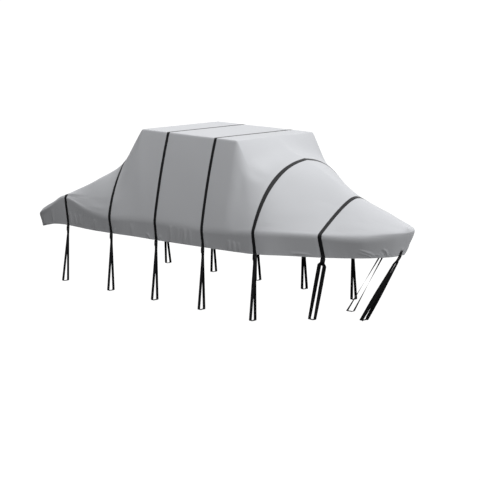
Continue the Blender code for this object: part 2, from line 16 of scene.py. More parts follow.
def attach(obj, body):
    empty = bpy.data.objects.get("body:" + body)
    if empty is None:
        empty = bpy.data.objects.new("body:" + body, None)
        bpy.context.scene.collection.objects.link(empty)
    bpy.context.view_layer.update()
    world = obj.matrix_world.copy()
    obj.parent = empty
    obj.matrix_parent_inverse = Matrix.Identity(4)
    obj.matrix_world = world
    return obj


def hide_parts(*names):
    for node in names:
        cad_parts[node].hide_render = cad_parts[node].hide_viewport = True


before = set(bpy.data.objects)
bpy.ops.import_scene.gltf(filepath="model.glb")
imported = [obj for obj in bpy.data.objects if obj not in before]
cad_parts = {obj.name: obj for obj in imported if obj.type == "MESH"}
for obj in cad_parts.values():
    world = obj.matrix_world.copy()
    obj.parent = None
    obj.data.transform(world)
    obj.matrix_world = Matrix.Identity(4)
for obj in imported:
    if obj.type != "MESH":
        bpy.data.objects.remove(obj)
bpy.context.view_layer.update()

# ---------------------------------------------------------------- sizes shared with the model
ROOF_HALF_LENGTH = 0.925
AFT_SEAM_X = -2.300
FORE_SEAM_X = 1.455
CLOTH = 0.002
WEBBING = 0.002
WEBBING_WIDTH = 0.050
GAP = 0.0003

# One row for each cross-section from stern to bow: a top point, a hip, a shoulder and a hem.
COLUMNS = ("x", "top_in", "top_z", "hip_y", "hip_z", "round",
           "shoulder_y", "shoulder_z", "bulge", "hem_in", "hem_y", "hem_z")
SECTIONS = (
    (-3.205, 0.13, -1.375, 0.000, -1.390, 0.30, 0.000, -1.435, 0.00, 0.03, 0.000, -1.585),
    (-3.190, 0.13, -1.370, 0.420, -1.385, 0.30, 0.450, -1.430, 0.00, 0.03, 0.440, -1.585),
    (-3.130, 0.13, -1.335, 0.700, -1.365, 0.30, 0.730, -1.415, 0.00, 0.03, 0.710, -1.580),
    (-2.960, 0.11, -1.250, 0.860, -1.295, 0.25, 0.885, -1.353, 0.00, 0.02, 0.855, -1.535),
    (-2.700, 0.04, -1.153, 0.915, -1.188, 0.20, 0.935, -1.246, 0.00, 0.00, 0.890, -1.487),
    (-2.300, 0.00, -0.973, 0.925, -1.008, 0.20, 0.953, -1.062, 0.00, 0.00, 0.903, -1.457),
    (-1.800, 0.00, -0.750, 0.805, -0.765, 0.12, 0.975, -1.180, 0.02, 0.00, 0.930, -1.457),
    (-1.310, 0.00, -0.440, 0.690, -0.455, 0.08, 0.985, -1.230, 0.05, 0.00, 0.945, -1.446),
    (-0.925, 0.00, 0.000, 0.704, 0.000, 0.02, 0.968, -1.195, 0.02, 0.00, 0.936, -1.437),
    (-0.407, 0.00, 0.000, 0.704, 0.000, 0.02, 0.962, -1.172, 0.02, 0.00, 0.931, -1.430),
    (0.525, 0.00, 0.000, 0.704, 0.000, 0.02, 0.962, -1.172, 0.02, 0.00, 0.933, -1.407),
    (0.925, 0.00, 0.000, 0.704, 0.000, 0.02, 0.964, -1.150, 0.02, 0.00, 0.930, -1.398),
    (1.130, 0.00, -0.135, 0.708, -0.295, 0.20, 0.963, -1.135, 0.01, 0.00, 0.925, -1.393),
    (1.455, 0.00, -0.248, 0.675, -0.335, 0.90, 0.955, -1.100, 0.00, 0.00, 0.911, -1.381),
    (1.900, 0.00, -0.440, 0.352, -0.525, 0.90, 0.830, -1.075, 0.00, 0.00, 0.765, -1.362),
    (2.350, 0.00, -0.650, 0.182, -0.660, 0.90, 0.678, -1.060, 0.00, 0.00, 0.598, -1.347),
    (2.650, 0.00, -0.757, 0.235, -0.780, 0.90, 0.572, -1.058, 0.00, 0.02, 0.460, -1.335),
    (2.900, 0.01, -0.835, 0.170, -0.850, 0.90, 0.450, -1.047, 0.01, 0.05, 0.335, -1.322),
    (3.090, 0.03, -0.894, 0.130, -0.907, 0.90, 0.285, -1.024, 0.02, 0.09, 0.190, -1.312),
    (3.190, 0.04, -0.924, 0.070, -0.934, 0.90, 0.145, -1.014, 0.02, 0.12, 0.095, -1.305),
    (3.225, 0.03, -0.936, 0.000, -0.946, 0.90, 0.000, -1.004, 0.00, 0.14, 0.000, -1.300),
)

STRAP_COLUMNS = ("x", "front_x", "front_y", "back_x", "back_y", "low_z", "spread")
STRAPS = (
    (-2.300, -2.300, 1.020, -2.300, 0.930, -2.244, 0.000),
    (-1.304, -1.304, 1.020, -1.304, 0.925, -2.240, 0.000),
    (-0.390, -0.390, 1.020, -0.390, 0.925, -2.237, 0.000),
    (0.529, 0.529, 1.015, 0.529, 0.920, -2.227, 0.000),
    (1.467, 1.467, 0.992, 1.467, 0.905, -2.230, 0.000),
    (2.356, 1.996, 0.365, 1.894, 0.355, -2.230, 0.034),
)
BOW_FRONT = Vector((2.505, 0.053, -2.204))
BOW_BACK = Vector((2.505, -0.053, -2.204))
BOW_SPREAD = 0.026
BOW_TAB_START = 0.75
BOW_TAB_CLEARANCE = 0.0035

# ---------------------------------------------------------------- the fine grid
STATION_STEP = 0.019
NOSE_X = 2.8
NOSE_STEP = 0.009
TOP_SHARES = tuple(np.linspace(0.0, 0.96, 30)) + (0.97, 0.98, 0.99, 1.0)
WALL_SHARES = (0.006, 0.012, 0.02) + tuple(np.linspace(0.035, 1.0, 48))
SKIRT_SHARES = tuple(np.linspace(0.04, 0.84, 21)) + (0.87, 0.885, 0.895, 0.91, 0.94, 0.97, 1.0)
DEPTHS = np.array(TOP_SHARES + tuple(1.0 + s for s in WALL_SHARES) + tuple(2.0 + s for s in SKIRT_SHARES))
HIP_ROW = len(TOP_SHARES) - 1
SHOULDER_ROW = HIP_ROW + len(WALL_SHARES)
HALF_ROWS = len(DEPTHS)

STEEPER_TOP = 0.35
STEEPER_HIP = 1.05
STEEP_WALL_SHARE = 0.55
ROOF_BLEND_SHARE = 0.9
WALL_PLANE_SHARE = 0.4
WALL_NORMAL = np.array((0.0, 0.974, 0.225))
HIP_SHARE_OF_TOP_IN = 0.4
ARC_STEPS = 20
BISECTIONS = 40

# The shoulder's soft bend runs from this share of the wall to this share of the skirt: first along
# the sides and then at the nose, with a smooth change between these two x. The folds at the roof's
# ends are rounded over this length to each side.
BEND_ABOVE = (0.95, 0.78)
BEND_BELOW = (0.18, 0.34)
BEND_X = (2.3, 3.0)
ROOF_END_BEND = 0.014

SKIN = 0.0012

# ---------------------------------------------------------------- creases
# Each crease is a curve from one place to another by way of a middle one, each place given by x and
# by depth: 0 to 1 on the top, 1 to 2 on the wall and 2 to 3 on the skirt.
#   side     -1 = starboard, 1 = port, 0 = both
#   height   above zero for a ridge, below zero for a trough
CREASE_COLUMNS = ("side", "x0", "depth0", "xm", "depthm", "x1", "depth1", "width", "height")
CREASES = (
    # the skirt between the third and fourth straps
    (-1, -0.066, 2.08, -0.090, 2.50, -0.107, 2.99, 0.024, 0.0076),
    (-1, 0.079, 2.15, 0.050, 2.50, 0.017, 2.99, 0.020, 0.0066),
    (-1, 0.204, 2.12, 0.185, 2.50, 0.162, 2.99, 0.025, 0.0085),
    (-1, 0.307, 2.14, 0.300, 2.50, 0.287, 2.93, 0.018, 0.0057),
    (1, -0.180, 2.10, -0.160, 2.50, -0.150, 2.99, 0.022, 0.0076),
    (1, 0.120, 2.12, 0.135, 2.50, 0.160, 2.99, 0.026, 0.0085),
    (1, 0.255, 2.20, 0.250, 2.60, 0.262, 2.96, 0.018, 0.0057),
    # the skirt aft of the fifth strap
    (-1, 1.032, 2.42, 1.020, 2.70, 1.005, 2.98, 0.017, 0.0085),
    (-1, 1.119, 2.46, 1.110, 2.75, 1.101, 2.99, 0.019, 0.0095),
    (-1, 1.207, 2.50, 1.200, 2.70, 1.192, 2.92, 0.015, 0.0066),
    (1, 1.080, 2.40, 1.070, 2.70, 1.052, 2.98, 0.020, 0.0095),
    (1, 1.245, 2.55, 1.240, 2.75, 1.236, 2.96, 0.016, 0.0066),
    # the skirt between the first and third straps
    (-1, -2.232, 2.50, -2.234, 2.70, -2.232, 2.93, 0.015, 0.0076),
    (-1, -2.111, 2.48, -2.108, 2.65, -2.111, 2.90, 0.016, 0.0076),
    (-1, -1.988, 2.42, -1.996, 2.62, -2.011, 2.86, 0.016, 0.0066),
    (-1, -1.640, 2.35, -1.655, 2.65, -1.660, 2.97, 0.026, 0.0057),
    (-1, -0.880, 2.30, -0.872, 2.62, -0.880, 2.97, 0.024, 0.0047),
    (1, -2.170, 2.45, -2.160, 2.70, -2.165, 2.95, 0.018, 0.0076),
    (1, -1.900, 2.35, -1.905, 2.65, -1.890, 2.97, 0.020, 0.0066),
    (1, -0.760, 2.30, -0.775, 2.65, -0.780, 2.98, 0.024, 0.0066),
    # short pulls beside the strap ends
    (-1, -0.575, 2.68, -0.535, 2.82, -0.505, 2.99, 0.015, 0.0066),
    (-1, -0.290, 2.70, -0.318, 2.84, -0.340, 2.99, 0.015, 0.0066),
    (-1, 0.620, 2.62, 0.596, 2.80, 0.580, 2.98, 0.015, 0.0057),
    (-1, -1.215, 2.64, -1.236, 2.82, -1.252, 2.98, 0.015, 0.0057),
    (1, -0.300, 2.66, -0.322, 2.82, -0.342, 2.98, 0.015, 0.0066),
    (1, 0.430, 2.66, 0.455, 2.82, 0.472, 2.99, 0.015, 0.0066),
    (1, -1.400, 2.64, -1.378, 2.82, -1.362, 2.98, 0.015, 0.0066),
    # the bow skirt
    (-1, 1.940, 2.88, 2.070, 2.83, 2.200, 2.90, 0.014, 0.0046),
    (-1, 2.820, 2.60, 2.900, 2.66, 2.985, 2.90, 0.012, 0.0075),
    (-1, 2.795, 2.72, 2.865, 2.76, 2.950, 2.96, 0.010, 0.0055),
    (-1, 2.980, 2.84, 3.010, 2.82, 3.040, 2.90, 0.010, 0.0045),
    (-1, 3.062, 2.58, 3.112, 2.66, 3.113, 2.97, 0.012, 0.0080),
    (-1, 3.040, 2.66, 3.082, 2.76, 3.080, 2.97, 0.010, -0.0045),
    (-1, 3.205, 2.62, 3.224, 2.72, 3.214, 2.86, 0.010, 0.0055),
    (1, 2.880, 2.62, 2.950, 2.70, 3.020, 2.92, 0.013, 0.0070),
    (1, 3.120, 2.60, 3.150, 2.70, 3.140, 2.96, 0.012, 0.0070),
    (1, 2.120, 2.90, 2.230, 2.84, 2.330, 2.90, 0.015, 0.0046),
    # the stern quarters
    (-1, -2.520, 0.86, -2.830, 1.50, -3.050, 2.40, 0.050, 0.0078),
    (-1, -2.760, 0.80, -2.960, 1.50, -3.130, 2.60, 0.038, 0.0065),
    (-1, -2.620, 2.20, -2.660, 2.55, -2.640, 2.96, 0.024, 0.0052),
    (-1, -2.880, 2.25, -2.900, 2.60, -2.890, 2.96, 0.020, 0.0046),
    (1, -2.560, 0.84, -2.810, 1.50, -3.020, 2.40, 0.046, 0.0078),
    (1, -2.820, 0.78, -3.000, 1.50, -3.140, 2.60, 0.036, 0.0065),
    (1, -2.480, 2.25, -2.500, 2.60, -2.490, 2.96, 0.022, 0.0052),
    # the ridge that runs down from each front corner of the roof
    (0, 0.940, 1.02, 1.150, 1.15, 1.340, 1.60, 0.070, 0.0045),
    # long soft pulls on the walls, the hood and the aft slope
    (-1, -0.900, 1.04, -0.840, 1.45, -0.700, 1.90, 0.090, 0.0033),
    (-1, 0.560, 1.93, 0.760, 1.55, 0.900, 1.08, 0.080, 0.0030),
    (1, -0.900, 1.04, -0.800, 1.45, -0.640, 1.90, 0.090, 0.0033),
    (1, 0.580, 1.93, 0.740, 1.55, 0.895, 1.08, 0.080, 0.0030),
    (0, -1.000, 0.97, -1.280, 0.80, -1.620, 0.74, 0.060, 0.0037),
    (-1, 1.560, 1.75, 1.850, 1.45, 2.180, 1.35, 0.110, 0.0045),
    (1, 1.600, 1.70, 1.860, 1.45, 2.150, 1.30, 0.110, 0.0045),
    (-1, 2.480, 1.60, 2.720, 1.45, 2.980, 1.50, 0.080, 0.0037),
    (1, 2.500, 1.55, 2.760, 1.45, 3.000, 1.50, 0.080, 0.0037),
    (0, 1.000, 0.30, 1.200, 0.45, 1.420, 0.50, 0.090, 0.0030),
    (0, -2.250, 0.62, -1.980, 0.50, -1.600, 0.45, 0.090, 0.0037),
    (0, -3.050, 0.30, -2.880, 0.42, -2.500, 0.50, 0.080, 0.0045),
)
CREASE_STEPS = 10
CREASE_REACH = 3.2

# The cloth's slow unevenness, the ripple along the hem, and the pucker beside each strap's end: how
# high each is, the distances over which it dies away, and the pucker's turn in radians per metre.
WAVE_HEIGHT = 0.0014
RIPPLE_HEIGHT = 0.0007
RIPPLE_REACH = 0.11
PUCKER_HEIGHT = 0.0012
PUCKER_TURN = 95.0
PUCKER_REACH = 0.07
PUCKER_RISE = 0.05

# The hem's fold: its height, how fast it ends, its extra thickness and the dent of its stitches.
HEM_FOLD = 0.025
HEM_FOLD_END = 0.004
HEM_THICKER = 0.0006
STITCH_AT_SHARE = 0.8
STITCH_HALF_WIDTH = 0.0025
STITCH_DEPTH_SHARE = 0.7
# The ridge of the side seams, and the cloth pressed in under each strap.
SEAM_HALF_WIDTH = 0.009
SEAM_THICKER = 0.0005
PRESSED_HALF_WIDTH = 0.028
PRESSED_REACH = 0.062
PRESSED = 0.0008

# ---------------------------------------------------------------- webbing and buckles
RIBBON = 0.0015
BUCKLE_HALF_WIDTH = 0.031
SLOT_HALF_WIDTH = 0.0255
BUCKLE_TOP = 0.004
UPPER_SLOT = (0.0125, 0.0165)
LOWER_SLOT = (0.0575, 0.0612)
BUCKLE_BOTTOM = 0.074
FRAME_BACK = 0.0028
FRAME_THICKNESS = 0.006
CORNER_RADIUS = 0.008
BODY_HALF_WIDTH = 0.0235
PRONG_PLACE = 0.0270
PRONG_HALF_WIDTH = 0.0034
RIBS = 4
RIB_START = 0.0395
RIB_PITCH = 0.0032
RIB_HALF_WIDTH = 0.0150
LEG_EXIT = 0.080
SPREAD_AT = 0.125
UNDER_RADIUS = 0.012

# Paths through the buckle, as places down from the hem and out from the strap's back.
FOLD_DOWN = (0.008, 0.0120, 0.0146, 0.0152, 0.0142, 0.0118, 0.0075, 0.0035, -0.003, -0.011)
FOLD_OUT = (0.0012, 0.0018, 0.0036, 0.0060, 0.0086, 0.0099, 0.0100, 0.0096, 0.0070, 0.0040)
LEG_DOWN = (0.112, 0.096, 0.084, 0.0785, 0.0745, 0.066, 0.0618, 0.0592, 0.0590, 0.0604, 0.066, 0.080)
LEG_OUT = (0.0027, 0.0027, 0.0040, 0.0078, 0.0099, 0.0100, 0.0094, 0.0064, 0.0036, 0.0016, 0.0010, 0.0010)
SEWN_BACK = 0.055
FOLD_CLEAR = 0.018
LAYER_GAP = 0.0002
LEG_STEPS = 16

# ---------------------------------------------------------------- the photograph's view
IMAGE_SIDE = 480
FOCAL_PIXELS = 1779.0
SENSOR_WIDTH = 36.0
CAMERA_PLACE = Vector((17.2331, -16.3898, 2.6627))
CAMERA_TURN = math.radians(43.985)
CAMERA_DROP = math.radians(9.909)
FLOOR_Z = -2.75
FLOOR_HALF_SIDE = 220.0

# Each part of the studio light: the way to it, how narrow it is, and its strength.
LIGHTS = (
    ((0.354, -0.354, 0.866), 4.0, 2.62),
    ((0.0, 0.5, 0.866), 1.0, 1.45),
    ((1.0, 0.0, 0.0), 4.0, 1.34),
    ((-0.712, 0.688, 0.139), 4.0, 1.0),
)


# ---------------------------------------------------------------- the cover's surface
def spaced(line, shares):
    """Points at these shares of a polyline's length."""
    steps = np.linalg.norm(np.diff(line, axis=0), axis=1)
    length = np.concatenate(([0.0], np.cumsum(steps)))
    return np.stack([np.interp(shares, length / length[-1], line[:, k]) for k in range(3)], axis=1)


def section_points(row):
    """One side of a cross-section, from the centre line down to the hem."""
    s = dict(zip(COLUMNS, row))
    inward = -1.0 if s["x"] > 0 else 1.0
    top = np.array((s["x"] + inward * s["top_in"], 0.0, s["top_z"]))
    hip = np.array((s["x"] + inward * s["top_in"] * HIP_SHARE_OF_TOP_IN, s["hip_y"], s["hip_z"]))
    shoulder = np.array((s["x"], s["shoulder_y"], s["shoulder_z"]))
    hem = np.array((s["x"] + inward * s["hem_in"], s["hem_y"], s["hem_z"]))
    arc_start = top + (hip - top) * (1.0 - s["round"])
    arc_end = hip + (shoulder - hip) * s["round"]
    t = np.linspace(0.0, 1.0, 2 * ARC_STEPS + 1)[:, None]
    arc = (1 - t) ** 2 * arc_start + 2 * t * (1 - t) * hip + t ** 2 * arc_end
    straight = arc_end + (shoulder - arc_end) * np.linspace(0.0, 1.0, ARC_STEPS)[1:, None]
    over = np.vstack((top[None], arc[:ARC_STEPS + 1]))
    wall = np.vstack((arc[ARC_STEPS:], straight))
    down = (wall[:, 2] - wall[0, 2]) / (shoulder[2] - wall[0, 2])
    wall[:, 1] += s["bulge"] * 4.0 * down * (1.0 - down)
    skirt = np.array((shoulder, hem))
    points = np.vstack((spaced(over, TOP_SHARES), spaced(wall, WALL_SHARES), spaced(skirt, SKIRT_SHARES)))
    bend_above = float(np.interp(s["x"], BEND_X, BEND_ABOVE))
    bend_below = float(np.interp(s["x"], BEND_X, BEND_BELOW))
    above = spaced(wall, (bend_above,))[0]
    below = spaced(skirt, (bend_below,))[0]
    turn = np.interp(DEPTHS, (1.0 + bend_above, 2.0, 2.0 + bend_below), (0.0, 0.5, 1.0))[:, None]
    bend = (1 - turn) ** 2 * above + 2 * turn * (1 - turn) * shoulder + turn ** 2 * below
    inside = (turn > 0.0) & (turn < 1.0)
    return np.where(inside, bend, points)


def section_at(x):
    return next(k for k, row in enumerate(SECTIONS) if row[0] == x)


AFT_SEAM = section_at(AFT_SEAM_X)
FORE_SEAM = section_at(FORE_SEAM_X)
ROOF_AFT = section_at(-ROOF_HALF_LENGTH)
ROOF_FORE = section_at(ROOF_HALF_LENGTH)


class Surface:
    """The cover's underside: smooth curves along the cover through the points of every section."""

    def __init__(self):
        self.points = np.array([section_points(row) for row in SECTIONS])
        steps = np.diff(self.points[:, SHOULDER_ROW], axis=0)
        self.along = np.concatenate(([0.0], np.cumsum(np.linalg.norm(steps, axis=1))))
        self.arriving = np.zeros_like(self.points)
        self.leaving = np.zeros_like(self.points)
        last = len(self.points) - 1
        for k in range(last + 1):
            if k in (0, last):
                self.arriving[k] = self.leaving[k] = self.end_slope(k, last)
                continue
            before = self.chord_slope(k - 1)
            after = self.chord_slope(k)
            middle = self.middle_slope(k, before, after)
            self.arriving[k] = self.leaving[k] = middle
            if k == ROOF_AFT:
                self.arriving[k] = steeper_slope(before)
                self.leaving[k] = roof_slope(after, middle)
            if k == ROOF_FORE:
                self.arriving[k] = roof_slope(before, middle)
                self.leaving[k] = steeper_slope(after)
        self.folds = [(self.find(self.x_of(k) - ROOF_END_BEND), k, self.find(self.x_of(k) + ROOF_END_BEND))
                      for k in (ROOF_AFT, ROOF_FORE)]

    def chord_slope(self, k):
        return (self.points[k + 1] - self.points[k]) / (self.along[k + 1] - self.along[k])

    def end_slope(self, k, last):
        """At the stem and the stern the surface crosses the centre plane at a right angle."""
        neighbour = self.points[1] if k == 0 else self.points[last - 1]
        beyond = neighbour * np.array((1.0, -1.0, 1.0))
        run = self.along[1] if k == 0 else self.along[last] - self.along[last - 1]
        rise = neighbour - beyond if k == 0 else beyond - neighbour
        return rise / (2.0 * run)

    def middle_slope(self, k, before, after):
        """A smooth slope that never overshoots its neighbours."""
        run_before = self.along[k] - self.along[k - 1]
        run_after = self.along[k + 1] - self.along[k]
        mean = (before * run_after + after * run_before) / (run_before + run_after)
        steepest = 3.0 * np.minimum(np.abs(before), np.abs(after))
        limited = np.sign(mean) * np.minimum(np.abs(mean), steepest)
        return np.where(before * after <= 0.0, 0.0, limited)

    def sharp(self, u):
        """The points of the section at u, which counts sections from the stern."""
        k = min(int(u), len(self.points) - 2)
        t = u - k
        run = self.along[k + 1] - self.along[k]
        near = (2 * t ** 3 - 3 * t ** 2 + 1) * self.points[k]
        near = near + (t ** 3 - 2 * t ** 2 + t) * run * self.leaving[k]
        far = (3 * t ** 2 - 2 * t ** 3) * self.points[k + 1]
        far = far + (t ** 3 - t ** 2) * run * self.arriving[k + 1]
        return near + far

    def at(self, u):
        """As sharp(), with the folds at the roof's two ends slightly rounded."""
        for low, fold, high in self.folds:
            if low < u < high:
                t = (self.x_of(u) - self.x_of(low)) / (2.0 * ROOF_END_BEND)
                ends = (1 - t) ** 2 * self.sharp(low) + t ** 2 * self.sharp(high)
                return ends + 2 * t * (1 - t) * self.sharp(fold)
        return self.sharp(u)

    def x_of(self, u):
        return self.sharp(u)[SHOULDER_ROW, 0]

    def find(self, x):
        """The u whose shoulder point lies at x."""
        low, high = 0.0, len(self.points) - 1.0
        for _ in range(BISECTIONS):
            middle = (low + high) / 2.0
            if self.x_of(middle) < x:
                low = middle
            else:
                high = middle
        return (low + high) / 2.0

    def place(self, x, depth):
        """The port side's point at this x and depth."""
        section = self.at(self.find(x))
        return np.array([np.interp(depth, DEPTHS, section[:, k]) for k in range(3)])


def steeper_slope(chord):
    """The slope just outside the roof's ends: steep at the hip, and in the wall's own plane below it."""
    on_top = DEPTHS <= 1.0
    below_hip = np.clip(1.0 - (DEPTHS - 1.0) / STEEP_WALL_SHARE, 0.0, 1.0)
    at_hip = np.where(on_top, DEPTHS ** 2, below_hip)
    more = 1.0 + STEEPER_TOP * on_top * (1.0 - at_hip) + STEEPER_HIP * at_hip
    slope = chord * more[:, None]
    across = (slope @ WALL_NORMAL)[:, None] * WALL_NORMAL
    kept = np.clip(1.0 - (DEPTHS - 1.0) / WALL_PLANE_SHARE, 0.0, 1.0)
    return slope - across * np.where(on_top, 0.0, 1.0 - kept)[:, None]


def roof_slope(chord, middle):
    """The slope just inside the roof's ends: straight at the roof, smooth down at the shoulder."""
    smooth = np.clip((DEPTHS - 1.0) / ROOF_BLEND_SHARE, 0.0, 1.0)[:, None]
    return chord * (1.0 - smooth) + middle * smooth


surface = Surface()


def both_sides(half):
    """Points of one side as a whole section, from the starboard hem to the port hem."""
    starboard = half[..., ::-1, :] * np.array((1.0, -1.0, 1.0))
    return np.concatenate((starboard, half[..., 1:, :]), axis=-2)


def station_list():
    """Stations about STATION_STEP apart, closer at the nose, with one on every section."""
    stations = [0.0]
    for k in range(len(SECTIONS) - 1):
        length = surface.along[k + 1] - surface.along[k]
        step = NOSE_STEP if SECTIONS[k][0] > NOSE_X else STATION_STEP
        parts = max(2, math.ceil(length / step))
        stations += [k + n / parts for n in range(1, parts + 1)]
    return stations


def unit(vectors):
    return vectors / np.maximum(np.linalg.norm(vectors, axis=-1, keepdims=True), 1e-12)


def cloth_normals(points):
    """Outward unit normals of the whole grid; its two ends close on themselves."""
    before = np.concatenate((points[1:2, ::-1], points[:-1]))
    after = np.concatenate((points[1:], points[-2:-1, ::-1]))
    return unit(np.cross(after - before, np.gradient(points, axis=1)))


# ---------------------------------------------------------------- folds and puckers
def crease_line(crease):
    """Points along a crease, on the port side."""
    t = np.linspace(0.0, 1.0, CREASE_STEPS)
    x = (1 - t) ** 2 * crease["x0"] + 2 * t * (1 - t) * crease["xm"] + t ** 2 * crease["x1"]
    depth = (1 - t) ** 2 * crease["depth0"] + 2 * t * (1 - t) * crease["depthm"] + t ** 2 * crease["depth1"]
    return np.array([surface.place(*place) for place in zip(x, depth)])


def add_crease(out, points, line, width, height):
    """Raise the cloth along a line of points, most of all at its middle."""
    reach = CREASE_REACH * width
    near = np.all((points > line.min(axis=0) - reach) & (points < line.max(axis=0) + reach), axis=-1)
    chosen = points[near]
    nearest = np.full(len(chosen), np.inf)
    share = np.zeros(len(chosen))
    for k in range(len(line) - 1):
        run = line[k + 1] - line[k]
        t = np.clip((chosen - line[k]) @ run / (run @ run), 0.0, 1.0)
        away = np.linalg.norm(chosen - line[k] - t[:, None] * run, axis=1)
        closer = away < nearest
        nearest[closer] = away[closer]
        share[closer] = (k + t[closer]) / (len(line) - 1)
    taper = np.sqrt(np.clip(4.0 * share * (1.0 - share), 0.0, 1.0))
    out[near] += height * taper * np.exp(-(nearest / width) ** 2)


def rise(points, above_hem):
    """How far the cloth stands out from its smooth form, in metres."""
    x, y, z = points[..., 0], points[..., 1], points[..., 2]
    wave = np.sin(7.1 * x + 3.0 * z + 0.6) * np.sin(4.3 * z - 2.1 * x + 1.9 * y)
    out = WAVE_HEIGHT * wave
    for row in CREASES:
        crease = dict(zip(CREASE_COLUMNS, row))
        line = crease_line(crease)
        for side in (-1, 1):
            if crease["side"] in (0, side):
                on_side = line * np.array((1.0, side, 1.0))
                add_crease(out, points, on_side, crease["width"], crease["height"])
    ripple = np.sin(23.0 * x + 5.0 * y) + 0.7 * np.sin(41.0 * x - 3.0 * y + 1.1)
    ripple = ripple + 0.5 * np.sin(67.0 * x + 2.3)
    out += RIPPLE_HEIGHT * ripple * np.exp(-above_hem / RIPPLE_REACH)
    for row in STRAPS:
        away = np.abs(x - row[0])
        fading = np.exp(-away / PUCKER_REACH) * np.exp(-above_hem / PUCKER_RISE)
        out += PUCKER_HEIGHT * np.sin(away * PUCKER_TURN) * fading
        flat = np.clip((PRESSED_REACH - away) / (PRESSED_REACH - PRESSED_HALF_WIDTH), 0.0, 1.0)
        flat = flat * flat * (3.0 - 2.0 * flat)
        out = out * (1.0 - flat) - PRESSED * flat
    return out


def thicker_edges(above_hem):
    """The extra thickness of the folded hem, with its stitches pulled in."""
    fold = np.clip((HEM_FOLD - above_hem) / HEM_FOLD_END, 0.0, 1.0)
    stitched = np.exp(-((above_hem - STITCH_AT_SHARE * HEM_FOLD) / STITCH_HALF_WIDTH) ** 2)
    return HEM_THICKER * fold - STITCH_DEPTH_SHARE * HEM_THICKER * stitched


# ---------------------------------------------------------------- materials
def new_material(name, colour, roughness, specular):
    made = bpy.data.materials.new(name)
    made.use_nodes = True
    shader = made.node_tree.nodes["Principled BSDF"]
    shader.inputs["Base Color"].default_value = (*colour, 1.0)
    shader.inputs["Roughness"].default_value = roughness
    shader.inputs["Specular IOR Level"].default_value = specular
    return made, made.node_tree, shader


def maths(tree, operation, first, second=None, third=None):
    """A math node on sockets or plain numbers, as its output socket."""
    node = tree.nodes.new("ShaderNodeMath")
    node.operation = operation
    for socket, value in zip(node.inputs, (first, second, third)):
        if value is None:
            continue
        if isinstance(value, (int, float)):
            socket.default_value = value
        else:
            tree.links.new(value, socket)
    return node.outputs[0]


def metres(tree, layer):
    """The two coordinates of a layer that is measured in metres."""
    node = tree.nodes.new("ShaderNodeUVMap")
    node.uv_map = layer
    split = tree.nodes.new("ShaderNodeSeparateXYZ")
    tree.links.new(node.outputs["UV"], split.inputs[0])
    return split.outputs["X"], split.outputs["Y"]


def wave(tree, coordinate, pitch):
    return maths(tree, "SINE", maths(tree, "MULTIPLY", coordinate, 2.0 * math.pi / pitch))


def stitches(tree, along, across, rows, half_width, pitch):
    """1 on the stitches of some rows that run along, at these places across, and 0 elsewhere."""
    total = None
    for place in rows:
        row = maths(tree, "COMPARE", across, place, half_width)
        total = row if total is None else maths(tree, "MAXIMUM", total, row)
    dash = maths(tree, "LESS_THAN", maths(tree, "FRACT", maths(tree, "DIVIDE", along, pitch)), 0.68)
    return maths(tree, "MULTIPLY", total, dash)


def noise(tree, scale, detail):
    coordinates = tree.nodes.new("ShaderNodeTexCoord")
    node = tree.nodes.new("ShaderNodeTexNoise")
    node.inputs["Scale"].default_value = scale
    node.inputs["Detail"].default_value = detail
    tree.links.new(coordinates.outputs["Object"], node.inputs["Vector"])
    return node.outputs["Fac"]


def bump(tree, shader, height, distance, strength=1.0):
    node = tree.nodes.new("ShaderNodeBump")
    node.inputs["Distance"].default_value = distance
    node.inputs["Strength"].default_value = strength
    tree.links.new(height, node.inputs["Height"])
    tree.links.new(node.outputs["Normal"], shader.inputs["Normal"])


def blended(tree, shader, share, first, second):
    """Colour the shader from first to second by a share."""
    mix = tree.nodes.new("ShaderNodeMix")
    mix.data_type = "RGBA"
    tree.links.new(share, mix.inputs["Factor"])
    mix.inputs["A"].default_value = (*first, 1.0)
    mix.inputs["B"].default_value = (*second, 1.0)
    tree.links.new(mix.outputs["Result"], shader.inputs["Base Color"])


def cloth_material():
    """Coated grey cloth in a fine plain weave, with two rows of stitches in the hem."""
    made, tree, shader = new_material("grey_cloth", (0.37, 0.376, 0.391), 0.75, 0.22)
    shader.inputs["Sheen Weight"].default_value = 0.03
    shader.inputs["Sheen Roughness"].default_value = 0.4
    length, across = metres(tree, "metres")
    hem_length, above_hem = metres(tree, "hem")
    sewn = stitches(tree, hem_length, above_hem, (0.0055, 0.020), 0.0006, 0.0042)
    uneven = maths(tree, "MULTIPLY_ADD", noise(tree, 1.3, 3.0), 0.5, 0.25)
    blended(tree, shader, uneven, (0.366, 0.372, 0.387), (0.386, 0.392, 0.407))
    weave = maths(tree, "MULTIPLY", wave(tree, length, 0.0011), wave(tree, across, 0.0011))
    slubs = maths(tree, "MULTIPLY", noise(tree, 260.0, 2.0), 1.2)
    height = maths(tree, "ADD", maths(tree, "MULTIPLY", weave, 0.25), slubs)
    height = maths(tree, "MULTIPLY_ADD", sewn, 2.0, height)
    bump(tree, shader, height, 0.00012)
    return made


def webbing_material():
    """Flat black webbing with fine ribs and a row of stitches along both edges."""
    made, tree, shader = new_material("black_webbing", (0.010, 0.010, 0.011), 0.5, 0.2)
    length, across = metres(tree, "metres")
    sewn = stitches(tree, length, across, (-0.0215, 0.0215), 0.0006, 0.0045)
    blended(tree, shader, sewn, (0.009, 0.009, 0.010), (0.030, 0.030, 0.031))
    ribs = maths(tree, "MULTIPLY", wave(tree, length, 0.0022), 0.35)
    herring = wave(tree, maths(tree, "ADD", length, maths(tree, "PINGPONG", across, 0.006)), 0.0030)
    height = maths(tree, "MULTIPLY_ADD", herring, 0.35, ribs)
    height = maths(tree, "MULTIPLY_ADD", sewn, 1.0, height)
    bump(tree, shader, height, 0.00018)
    return made


